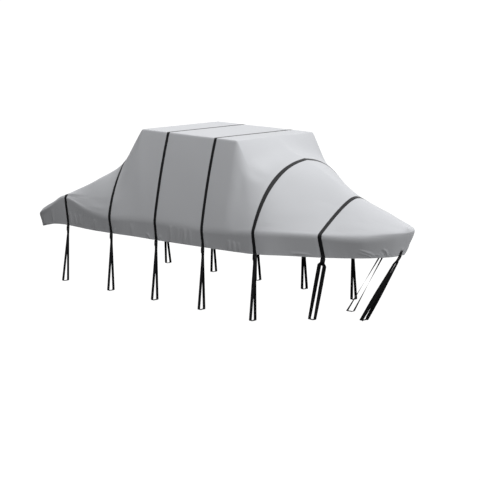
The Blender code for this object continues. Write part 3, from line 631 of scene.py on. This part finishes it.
def buckle_material():
    made, tree, shader = new_material("black_plastic", (0.012, 0.012, 0.013), 0.42, 0.4)
    bump(tree, shader, noise(tree, 900.0, 1.0), 0.00006)
    return made


CLOTH_FINISH = cloth_material()
WEBBING_FINISH = webbing_material()
BUCKLE_FINISH = buckle_material()


# ---------------------------------------------------------------- making pieces
def set_layer(mesh, name, values):
    """A texture layer from a pair of values for each vertex."""
    layer = mesh.uv_layers.new(name=name)
    corners = np.zeros(len(mesh.loops), dtype=np.int32)
    mesh.loops.foreach_get("vertex_index", corners)
    layer.data.foreach_set("uv", np.asarray(values, dtype=np.float32)[corners].ravel())


def add_piece(name, mesh, finish, node):
    mesh.materials.append(finish)
    made = bpy.data.objects.new(name, mesh)
    bpy.context.scene.collection.objects.link(made)
    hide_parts(node)
    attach(made, "root")
    return made


# ---------------------------------------------------------------- cloth panels
PANEL_COLUMNS = ("name", "width", "length", "area", "held", "rests_on")
PANELS = (
    ("roof_panel", 1.41, 1.86, 2.60, "stretched", ()),
    ("side_panel_starboard", 1.55, 3.80, 4.58, "hung", ("cloth_roof_panel",)),
    ("side_panel_port", 1.55, 3.80, 4.58, "hung", ("cloth_roof_panel",)),
    ("bow_hood", 2.90, 2.50, 5.12, "stretched", ("cloth_roof_panel",)),
    ("stern_panel", 2.90, 2.50, 5.10, "stretched", ("cloth_roof_panel",)),
)


def panel_name(stations, i, c):
    middle = HALF_ROWS - 1
    row = c - middle if c >= middle else middle - 1 - c
    if row >= HIP_ROW:
        if stations[i + 1] <= AFT_SEAM:
            return "stern_panel"
        if stations[i] >= FORE_SEAM:
            return "bow_hood"
        return "side_panel_port" if c >= middle else "side_panel_starboard"
    if stations[i + 1] <= ROOF_AFT:
        return "stern_panel"
    if stations[i] >= ROOF_FORE:
        return "bow_hood"
    return "roof_panel"


def make_panels():
    stations = station_list()
    base = both_sides(np.array([surface.at(u) for u in stations]))
    normals = cloth_normals(base)
    girth = np.linalg.norm(np.diff(base, axis=1), axis=2)
    from_starboard = np.concatenate((np.zeros((len(stations), 1)), np.cumsum(girth, axis=1)), axis=1)
    above_hem = np.minimum(from_starboard, from_starboard[:, -1:] - from_starboard)
    middle = HALF_ROWS - 1
    from_centre = from_starboard - from_starboard[:, middle:middle + 1]
    hips = np.abs(from_centre[:, middle + HIP_ROW])[:, None]
    side_seam = (np.array(stations) >= AFT_SEAM) & (np.array(stations) <= FORE_SEAM)
    from_seam = np.abs(np.abs(from_centre) - hips)
    at_seam = np.clip(1.0 - from_seam / SEAM_HALF_WIDTH, 0.0, 1.0) * side_seam[:, None]
    out = rise(base, above_hem) + thicker_edges(above_hem) + SEAM_THICKER * np.sqrt(at_seam)
    outer = base + normals * (CLOTH + out)[..., None]
    inner = base + normals * (CLOTH - SKIN + out - HEM_THICKER * (above_hem < HEM_FOLD))[..., None]
    rows, columns = base.shape[:2]
    index = np.arange(rows * columns).reshape(rows, columns)
    for end in (0, rows - 1):
        index[end, middle + 1:] = index[end, :middle][::-1]
    length = np.interp(stations, np.arange(len(SECTIONS)), surface.along)[:, None]
    flat = np.stack((np.broadcast_to(length, from_centre.shape), from_centre), axis=-1).reshape(-1, 2)
    hem = np.stack((np.broadcast_to(length, above_hem.shape), above_hem), axis=-1).reshape(-1, 2)
    cells = {}
    for i in range(rows - 1):
        for c in range(columns - 1):
            corners = (index[i, c], index[i + 1, c], index[i + 1, c + 1], index[i, c + 1])
            cells.setdefault(panel_name(stations, i, c), []).append(corners)
    for row in PANELS:
        panel = dict(zip(PANEL_COLUMNS, row))
        layers = {"metres": flat, "hem": hem}
        quads = np.array(cells[panel["name"]])
        made = make_sheet(panel["name"], quads, outer.reshape(-1, 3), inner.reshape(-1, 3), layers)


def make_sheet(name, quads, outer, inner, layers):
    """One cloth panel as a thin closed sheet."""
    used, local = np.unique(quads, return_inverse=True)
    count = len(used)
    distinct = [list(dict.fromkeys(q)) for q in local.reshape(-1, 4).tolist()]
    directed = {(q[k], q[(k + 1) % len(q)]) for q in distinct for k in range(len(q))}
    rim = sorted((a, b) for a, b in directed if (b, a) not in directed)
    faces = [tuple(q) for q in distinct]
    faces += [tuple(v + count for v in reversed(q)) for q in distinct]
    faces += [(b, a, a + count, b + count) for a, b in rim]
    mesh = bpy.data.meshes.new(name)
    mesh.from_pydata(np.vstack((outer[used], inner[used])).tolist(), [], faces)
    mesh.shade_smooth()
    mesh.set_sharp_from_angle(angle=0.7)
    for layer, values in layers.items():
        set_layer(mesh, layer, np.vstack((values[used], values[used])))
    return add_piece(f"cloth_{name}", mesh, CLOTH_FINISH, name)


# ---------------------------------------------------------------- webbing
# The ribbon's outline: shares of its half width across, and shares of its half thickness up.
OUTLINE = ((-0.956, -1.0), (-0.33, -1.0), (0.33, -1.0), (0.956, -1.0), (1.0, -0.35), (1.0, 0.35),
           (0.956, 1.0), (0.33, 1.0), (-0.33, 1.0), (-0.956, 1.0), (-1.0, 0.35), (-1.0, -0.35))


def make_ribbon(name, left, middle, right, held, rests_on):
    """A closed band of webbing whose two edges and middle run through these points."""
    left, middle, right = (np.array(line, dtype=float) for line in (left, middle, right))
    ahead = np.gradient(middle, axis=0)
    up = unit(np.cross(ahead, right - left))
    steps = np.linalg.norm(np.diff(middle, axis=0), axis=1)
    length = np.concatenate(([0.0], np.cumsum(steps)))
    points, flat = [], []
    for across, lift in OUTLINE:
        edge = right if across > 0.0 else left
        points.append(middle + (edge - middle) * abs(across) + up * lift * RIBBON / 2.0)
        flat.append(np.stack((length, np.full(len(length), across * WEBBING_WIDTH / 2.0)), axis=1))
    points = np.stack(points, axis=1).reshape(-1, 3)
    flat = np.stack(flat, axis=1).reshape(-1, 2)
    ring = len(OUTLINE)
    faces = []
    for n in range(len(middle) - 1):
        for k in range(ring):
            here, there = n * ring, (n + 1) * ring
            faces.append((here + k, here + (k + 1) % ring, there + (k + 1) % ring, there + k))
    last = (len(middle) - 1) * ring
    faces.append(tuple(reversed(range(ring))))
    faces.append(tuple(last + k for k in range(ring)))
    mesh = bpy.data.meshes.new(name)
    mesh.from_pydata(points.tolist(), [], faces)
    set_layer(mesh, "metres", flat)
    shape = bmesh.new()
    shape.from_mesh(mesh)
    bmesh.ops.recalc_face_normals(shape, faces=shape.faces)
    if shape.calc_volume(signed=True) < 0.0:
        bmesh.ops.reverse_faces(shape, faces=shape.faces)
    shape.to_mesh(mesh)
    shape.free()
    mesh.shade_smooth()
    mesh.set_sharp_from_angle(angle=0.9)
    made = add_piece(f"webbing_{name}", mesh, WEBBING_FINISH, name)


class Hanger:
    """Where a buckle hangs: its place at the hem, and its down, across and outward directions."""

    def __init__(self, place, across, target, outside):
        self.place = Vector(place)
        self.down = (Vector(target) - self.place).normalized()
        across = Vector(across)
        self.across = (across - self.down * across.dot(self.down)).normalized()
        self.out = self.across.cross(self.down)
        if self.out.dot(Vector(outside)) < 0.0:
            self.out.negate()

    def point(self, down, across, out):
        return self.place + self.down * down + self.across * across + self.out * out


def folded_end(hanger, up_left, up_middle, up_right):
    """A strap's end from the hem round the buckle's upper bar, then up its own front."""
    half = WEBBING_WIDTH / 2.0
    left = [hanger.point(d, -half, o) for d, o in zip(FOLD_DOWN, FOLD_OUT)]
    middle = [hanger.point(d, 0.0, o) for d, o in zip(FOLD_DOWN, FOLD_OUT)]
    right = [hanger.point(d, half, o) for d, o in zip(FOLD_DOWN, FOLD_OUT)]
    return (np.vstack((left, up_left)), np.vstack((middle, up_middle)), np.vstack((right, up_right)))


def make_strap(number, strap):
    """One strap over the cover, and the hanger at each of its ends."""
    half = WEBBING_WIDTH / 2.0
    stations = [surface.find(strap["x"] + step * half) for step in (-1.4, -1.0, 0.0, 1.0, 1.4)]
    base = both_sides(np.array([surface.at(u) for u in stations]))
    normals = unit(np.cross(np.gradient(base, axis=0), np.gradient(base, axis=1)))
    height = CLOTH - PRESSED + 0.0001 + RIBBON / 2.0
    lines = [base[k] + normals[k] * height for k in (1, 2, 3)]
    over = [base[k] + normals[k] * (height + RIBBON + LAYER_GAP) for k in (1, 2, 3)]
    hangers = {}
    ends = {}
    for side, edge, sign in (("starboard", 0, -1.0), ("port", -1, 1.0)):
        place = (base[1, edge] + base[3, edge]) / 2.0 + normals[2, edge] * (CLOTH + GAP)
        target = ((strap["front_x"] + strap["back_x"]) / 2.0,
                  sign * (strap["front_y"] + strap["back_y"]) / 2.0, strap["low_z"])
        hanger = Hanger(place, base[3, edge] - base[1, edge], target, (0.0, sign, 0.0))
        hangers[side] = hanger
        from_hem = np.linalg.norm(base[2] - base[2, edge], axis=1)
        order = np.argsort(from_hem)
        rows = [c for c in order if FOLD_CLEAR < from_hem[c] < SEWN_BACK]
        ends[side] = folded_end(hanger, *(line[rows] for line in over))
    full = [np.vstack((ends["starboard"][k][::-1], lines[k], ends["port"][k])) for k in range(3)]
    panels = ["cloth_side_panel_starboard", "cloth_side_panel_port"]
    if number in (1, 5, 6):
        panels = ["cloth_stern_panel" if number == 1 else "cloth_bow_hood"]
    make_ribbon(f"strap_{number}", *full, "stretched", panels)
    return hangers


def rounded(before, corner, after, radius, steps=6):
    """A corner of a path as a short arc."""
    start = corner + (before - corner).normalized() * radius
    end = corner + (after - corner).normalized() * radius
    shares = (n / steps for n in range(steps + 1))
    return [(1 - t) ** 2 * start + 2 * t * (1 - t) * corner + t ** 2 * end for t in shares]


def make_tie_down(name, hanger, front, back, spread, buckle):
    """A loop of webbing folded round the buckle's lower bar, down, round a short run, and up again."""
    def aside(down, way):
        return way * spread * min(max((down - LEG_EXIT) / (SPREAD_AT - LEG_EXIT), 0.0), 1.0)

    front_path = [hanger.point(d, aside(d, 1.0), o) for d, o in zip(LEG_DOWN, LEG_OUT)]
    back_path = [hanger.point(d, 0.0, -GAP - WEBBING / 2.0) for d in (0.060, 0.070, LEG_EXIT)]
    for down in (0.095, 0.110, SPREAD_AT):
        front_path.append(hanger.point(down, aside(down, 1.0), 0.0010))
        back_path.append(hanger.point(down, aside(down, -1.0), -GAP - WEBBING / 2.0))
    under = (back - front).normalized()
    under_across = Vector((0.0, 0.0, 1.0)).cross(under).normalized()
    if under_across.dot(hanger.across) < 0.0:
        under_across.negate()
    legs = [[start.lerp(end, n / LEG_STEPS) for n in range(1, LEG_STEPS)]
            for start, end in ((front_path[-1], front), (back_path[-1], back))]
    path = front_path + legs[0] + rounded(front_path[-1], front, back, UNDER_RADIUS)
    path += rounded(front, back, back_path[-1], UNDER_RADIUS) + legs[1][::-1] + back_path[::-1]
    left, right = [], []
    for n, point in enumerate(path):
        start = front_path[-1] if n < len(path) / 2 else back_path[-1]
        share = min(max((start.z - point.z) / (start.z - front.z), 0.0), 1.0)
        across = hanger.across.lerp(under_across, share)
        ahead = (path[min(n + 1, len(path) - 1)] - path[max(n - 1, 0)]).normalized()
        across = (across - ahead * across.dot(ahead)).normalized() * (WEBBING_WIDTH / 2.0)
        left.append(point - across)
        right.append(point + across)
    make_ribbon(name, left, path, right, "stretched", [f"moulded_{buckle}"])


# ---------------------------------------------------------------- buckles
def add_block(shape, low, high, taper, radius):
    """A block between two corners, its outer face drawn in by taper and its edges rounded."""
    made = bmesh.ops.create_cube(shape, size=1.0)["verts"]
    middle = (Vector(low) + Vector(high)) / 2.0
    size = Vector(high) - Vector(low)
    for vertex in made:
        inset = taper if vertex.co.z > 0.0 else 1.0
        vertex.co = middle + Vector((vertex.co.x * size.x * inset, vertex.co.y * size.y * inset,
                                     vertex.co.z * size.z))
    edges = list({edge for vertex in made for edge in vertex.link_edges})
    bmesh.ops.bevel(shape, geom=edges, offset=radius, segments=2, profile=0.5, affect="EDGES")


def buckle_mesh():
    """A side-release buckle: a slotted frame, two moulded halves that meet, side prongs and ribs."""
    across = (-BUCKLE_HALF_WIDTH, -SLOT_HALF_WIDTH, SLOT_HALF_WIDTH, BUCKLE_HALF_WIDTH)
    down = (BUCKLE_TOP, *UPPER_SLOT, *LOWER_SLOT, BUCKLE_BOTTOM)
    shape = bmesh.new()
    corners = [[shape.verts.new((a, d, 0.0)) for a in across] for d in down]
    for r in range(len(down) - 1):
        for c in range(len(across) - 1):
            if c == 1 and r in (1, 3):
                continue
            shape.faces.new((corners[r][c], corners[r][c + 1], corners[r + 1][c + 1], corners[r + 1][c]))
    frame = bmesh.ops.extrude_face_region(shape, geom=list(shape.faces), use_keep_orig=True)
    raised = [v for v in frame["geom"] if isinstance(v, bmesh.types.BMVert)]
    bmesh.ops.translate(shape, verts=raised, vec=(0.0, 0.0, FRAME_THICKNESS))
    bmesh.ops.recalc_face_normals(shape, faces=shape.faces)
    posts = [e for e in shape.edges if is_post(e) and on_outline(e)]
    bmesh.ops.bevel(shape, geom=posts, offset=CORNER_RADIUS, segments=4, profile=0.5, affect="EDGES")
    sharp = [e for e in shape.edges if e.is_manifold and e.calc_face_angle() > 0.7]
    bmesh.ops.bevel(shape, geom=sharp, offset=0.0009, segments=2, profile=0.5, affect="EDGES")
    top = FRAME_THICKNESS
    half = BODY_HALF_WIDTH
    add_block(shape, (-half, 0.0195, top - 0.001), (half, 0.0342, top + 0.0056), 0.88, 0.0014)
    add_block(shape, (-half, 0.0348, top - 0.001), (half, 0.0545, top + 0.0050), 0.90, 0.0014)
    for side in (-1.0, 1.0):
        left = side * PRONG_PLACE - PRONG_HALF_WIDTH
        right = side * PRONG_PLACE + PRONG_HALF_WIDTH
        add_block(shape, (left, 0.0290, 0.0006), (right, 0.0460, top + 0.0022), 0.80, 0.0012)
    half = RIB_HALF_WIDTH
    for n in range(RIBS):
        place = RIB_START + RIB_PITCH * n
        add_block(shape, (-half, place, top + 0.0046), (half, place + 0.0014, top + 0.0057), 0.90, 0.0003)
    mesh = bpy.data.meshes.new("buckle")
    bmesh.ops.translate(shape, verts=shape.verts, vec=(0.0, 0.0, FRAME_BACK))
    bmesh.ops.triangulate(shape, faces=shape.faces)
    shape.to_mesh(mesh)
    shape.free()
    mesh.shade_smooth()
    mesh.set_sharp_from_angle(angle=0.6)
    return mesh


def is_post(edge):
    a, b = (v.co for v in edge.verts)
    return abs(a.x - b.x) < GAP and abs(a.y - b.y) < GAP


def on_outline(edge):
    place = edge.verts[0].co
    at_side = abs(abs(place.x) - BUCKLE_HALF_WIDTH) < GAP
    return at_side and (abs(place.y - BUCKLE_TOP) < GAP or abs(place.y - BUCKLE_BOTTOM) < GAP)


def make_buckle(name, hanger, mesh):
    across = hanger.down.cross(hanger.out)
    made = add_piece(f"moulded_{name}", mesh, BUCKLE_FINISH, name)
    turn = Matrix((across, hanger.down, hanger.out)).transposed()
    made.matrix_world = Matrix.Translation(hanger.place) @ turn.to_4x4()


# ---------------------------------------------------------------- the bow fastening
def make_bow_fastening():
    """The tab down the stem, and the hanger where its buckle goes."""
    half = WEBBING_WIDTH / 2.0
    stem = surface.points[-1]
    beside = surface.at(len(SECTIONS) - 1.5)
    shares = np.linspace(2.0 + BOW_TAB_START, 3.0, 8)
    centre = np.stack([np.interp(shares, DEPTHS, stem[:, k]) for k in range(3)], axis=1)
    away = np.stack([np.interp(shares, DEPTHS, beside[:, k]) for k in range(3)], axis=1)
    edge = centre + (away - centre) * (half / away[:, 1:2])
    across = Vector((0.0, 1.0, 0.0))
    lift = Vector(centre[-1] - centre[0]).cross(across).normalized()
    target = (BOW_FRONT + BOW_BACK) / 2.0
    hanger = Hanger(Vector(centre[-1]) + lift * BOW_TAB_CLEARANCE, across, target, (1.0, 0.0, 0.0))
    height = np.array(lift) * (BOW_TAB_CLEARANCE + RIBBON / 2.0)
    middle = centre + height
    left = edge * np.array((1.0, -1.0, 1.0)) + height
    right = edge + height
    over = np.array(lift) * (RIBBON + LAYER_GAP)
    rows = [k for k in range(len(shares) - 1, -1, -1) if np.linalg.norm(centre[k] - centre[-1]) > FOLD_CLEAR]
    end = folded_end(hanger, left[rows] + over, middle[rows] + over, right[rows] + over)
    full = [np.vstack((line, end[k])) for k, line in enumerate((left, middle, right))]
    make_ribbon("bow_tab", *full, "stretched", ["cloth_bow_hood"])
    return hanger


def make_fastenings():
    mesh = buckle_mesh()
    for number, row in enumerate(STRAPS, start=1):
        strap = dict(zip(STRAP_COLUMNS, row))
        for side, hanger in make_strap(number, strap).items():
            sign = -1.0 if side == "starboard" else 1.0
            front = Vector((strap["front_x"], sign * strap["front_y"], strap["low_z"]))
            back = Vector((strap["back_x"], sign * strap["back_y"], strap["low_z"]))
            buckle = f"buckle_{number}_{side}"
            make_buckle(buckle, hanger, mesh.copy())
            make_tie_down(f"tie_down_{number}_{side}", hanger, front, back, strap["spread"], buckle)
    hanger = make_bow_fastening()
    make_buckle("bow_buckle", hanger, mesh.copy())
    make_tie_down("bow_tie_down", hanger, BOW_FRONT, BOW_BACK, BOW_SPREAD, "bow_buckle")


# ---------------------------------------------------------------- camera, light and floor
def make_camera():
    forward = Vector((-math.cos(CAMERA_TURN) * math.cos(CAMERA_DROP),
                      math.sin(CAMERA_TURN) * math.cos(CAMERA_DROP),
                      -math.sin(CAMERA_DROP)))
    right = Vector((math.sin(CAMERA_TURN), math.cos(CAMERA_TURN), 0.0))
    up = right.cross(forward)
    lens = bpy.data.cameras.new("camera")
    lens.sensor_width = SENSOR_WIDTH
    lens.lens = FOCAL_PIXELS / IMAGE_SIDE * SENSOR_WIDTH
    lens.clip_start = 1.0
    lens.clip_end = 1000.0
    camera = bpy.data.objects.new("camera", lens)
    bpy.context.scene.collection.objects.link(camera)
    turn = Matrix((right, up, -forward)).transposed()
    camera.matrix_world = Matrix.Translation(CAMERA_PLACE) @ turn.to_4x4()
    bpy.context.scene.camera = camera


def make_light():
    """Studio light from above, from ahead of the bow and from the side away from the camera."""
    world = bpy.data.worlds.new("studio")
    bpy.context.scene.world = world
    world.use_nodes = True
    tree = world.node_tree
    background = tree.nodes["Background"]
    background.inputs["Color"].default_value = (1.0, 1.0, 1.0, 1.0)
    coordinates = tree.nodes.new("ShaderNodeTexCoord")
    total = None
    for direction, power, strength in LIGHTS:
        dot = tree.nodes.new("ShaderNodeVectorMath")
        dot.operation = "DOT_PRODUCT"
        dot.inputs[1].default_value = Vector(direction).normalized()
        tree.links.new(coordinates.outputs["Generated"], dot.inputs[0])
        facing = maths(tree, "MAXIMUM", dot.outputs["Value"], 0.0)
        part = maths(tree, "MULTIPLY", maths(tree, "POWER", facing, power), strength)
        total = part if total is None else maths(tree, "ADD", total, part)
    tree.links.new(total, background.inputs["Strength"])


def make_floor():
    side = FLOOR_HALF_SIDE
    mesh = bpy.data.meshes.new("floor")
    corners = [(-side, -side, FLOOR_Z), (side, -side, FLOOR_Z), (side, side, FLOOR_Z), (-side, side, FLOOR_Z)]
    mesh.from_pydata(corners, [], [(0, 1, 2, 3)])
    made, tree, shader = new_material("pale_floor", (0.06, 0.06, 0.06), 1.0, 0.0)
    shader.inputs["Emission Color"].default_value = (1.0, 1.0, 1.0, 1.0)
    shader.inputs["Emission Strength"].default_value = 0.97
    mesh.materials.append(made)
    floor = bpy.data.objects.new("floor", mesh)
    bpy.context.scene.collection.objects.link(floor)
    floor.visible_diffuse = False
    floor.visible_glossy = False


make_panels()
make_fastenings()
make_camera()
make_light()
make_floor()
bpy.context.scene.view_settings.view_transform = "Standard"
